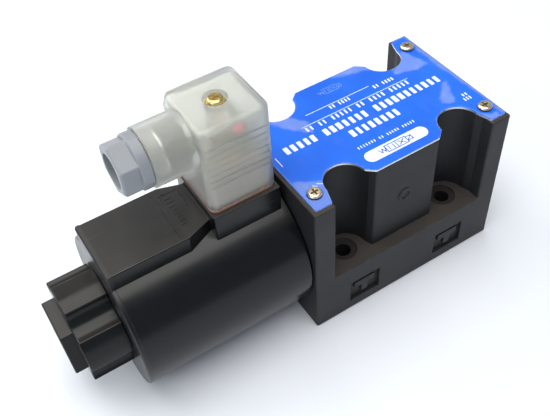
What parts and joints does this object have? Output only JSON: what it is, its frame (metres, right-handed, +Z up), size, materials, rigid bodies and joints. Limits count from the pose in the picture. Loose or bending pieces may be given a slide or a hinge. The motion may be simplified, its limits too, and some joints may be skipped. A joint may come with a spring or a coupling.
{
  "type": "solenoid directional valve",
  "caption": "Subplate-mounted hydraulic directional valve: cast body with a sliding spool, round wet-pin solenoid coil at one end and a square plug connector with a cable gland.",
  "frame": {"origin": "centre of the four mounting bolts, on the mounting face", "axes": "+X along the spool from the solenoid to the plugged end, +Z up from the subplate, -Y the side that carries the cast port letters"},
  "size_m": [0.2015, 0.068, 0.1142],
  "materials": {
    "cast_black": "matte black enamel over cast iron",
    "seal_rubber": "matte nitrile rubber",
    "plate_blue": "blue printed aluminium under a clear film",
    "zinc_yellow": "yellow zinc plate",
    "ground_steel": "ground and hardened",
    "spring_steel": "drawn wire",
    "plug_black": "black oxide",
    "core_steel": "turned",
    "brazed_ring": "brazed bronze",
    "brass": "turned brass",
    "coil_black": "moulded, semi-gloss",
    "plate_black": "semi-gloss black",
    "bobbin_plastic": "natural nylon",
    "copper": "enamelled copper wire",
    "tinned_brass": "tinned",
    "nut_black": "moulded, semi-gloss",
    "gasket_tan": "matte silicone",
    "hood_clear": "milky translucent polyamide",
    "carrier_white": "moulded",
    "board_green": "solder mask",
    "lamp_red": "clear tinted resin",
    "washer_steel": "zinc plate",
    "nut_grey": "moulded, satin"
  },
  "bodies": {
    "housing": {"valve_body": "cast_black", "port_o_rings": "seal_rubber", "name_plate": "plate_blue", "name_plate_screws": "zinc_yellow", "end_plug": "plug_black", "end_plug_o_ring": "seal_rubber", "core_tube_o_ring": "seal_rubber", "pole_piece": "core_steel", "non_magnetic_ring": "brazed_ring", "guide_tube": "core_steel", "tube_end_plug": "core_steel", "anti_residual_shim": "brass", "override_pin_o_ring": "seal_rubber"},
    "spool_slide": {"spool": "ground_steel", "spring_seat": "ground_steel", "return_spring": "spring_steel"},
    "plunger": {"armature": "core_steel", "push_rod": "ground_steel"},
    "override": {"override_pin": "ground_steel"},
    "coil": {"coil_housing": "coil_black", "coil_end_plate": "plate_black", "coil_inner_plate": "core_steel", "yoke_ring": "core_steel", "coil_bobbin": "bobbin_plastic", "coil_winding": "copper", "coil_face_seal": "seal_rubber", "coil_terminals": "tinned_brass", "terminal_insert": "brass"},
    "knob": {"coil_nut": "nut_black", "coil_nut_seal": "seal_rubber"},
    "connector": {"connector_gasket": "gasket_tan", "connector_housing": "hood_clear", "contact_carrier": "carrier_white", "contact_sockets": "tinned_brass", "terminal_clamp_screws": "zinc_yellow", "indicator_board": "board_green", "indicator_lamp": "lamp_red", "connector_screw": "brass", "connector_screw_washer": "brass", "gland_seal": "seal_rubber", "gland_washer": "washer_steel"},
    "gland": {"gland_nut": "nut_grey"}
  },
  "joints": [
    {"name": "spool_shift", "type": "slide", "parent": "housing", "child": "spool_slide", "axis": [1, 0, 0], "range_m": [0, 0.004], "stiffness_N_per_m": 6000, "springref_m": -0.0035, "deforming": ["return_spring"]},
    {"name": "armature_shift", "type": "slide", "parent": "housing", "child": "plunger", "axis": [1, 0, 0], "range_m": [0, 0.004]},
    {"name": "override_press", "type": "slide", "parent": "housing", "child": "override", "axis": [1, 0, 0], "range_m": [0, 0.004]},
    {"name": "coil_swivel", "type": "hinge", "parent": "housing", "child": "coil", "pos_m": [0, 0, 0.034], "axis": [1, 0, 0], "range_deg": [-90, 90]},
    {"name": "coil_nut_turn", "type": "hinge", "parent": "housing", "child": "knob", "pos_m": [-0.132, 0, 0.034], "axis": [1, 0, 0], "continuous": true},
    {"name": "connector_unplug", "type": "slide", "parent": "coil", "child": "connector", "axis": [0, 0, 1], "range_m": [0, 0.02]},
    {"name": "gland_nut_turn", "type": "hinge", "parent": "connector", "child": "gland", "pos_m": [-0.1, 0, 0.1023], "axis": [1, 0, 0], "continuous": true}
  ],
  "couplings": [
    {"joint": "armature_shift", "follows": "spool_shift", "ratio": 1},
    {"joint": "override_press", "follows": "spool_shift", "ratio": 1}
  ]
}
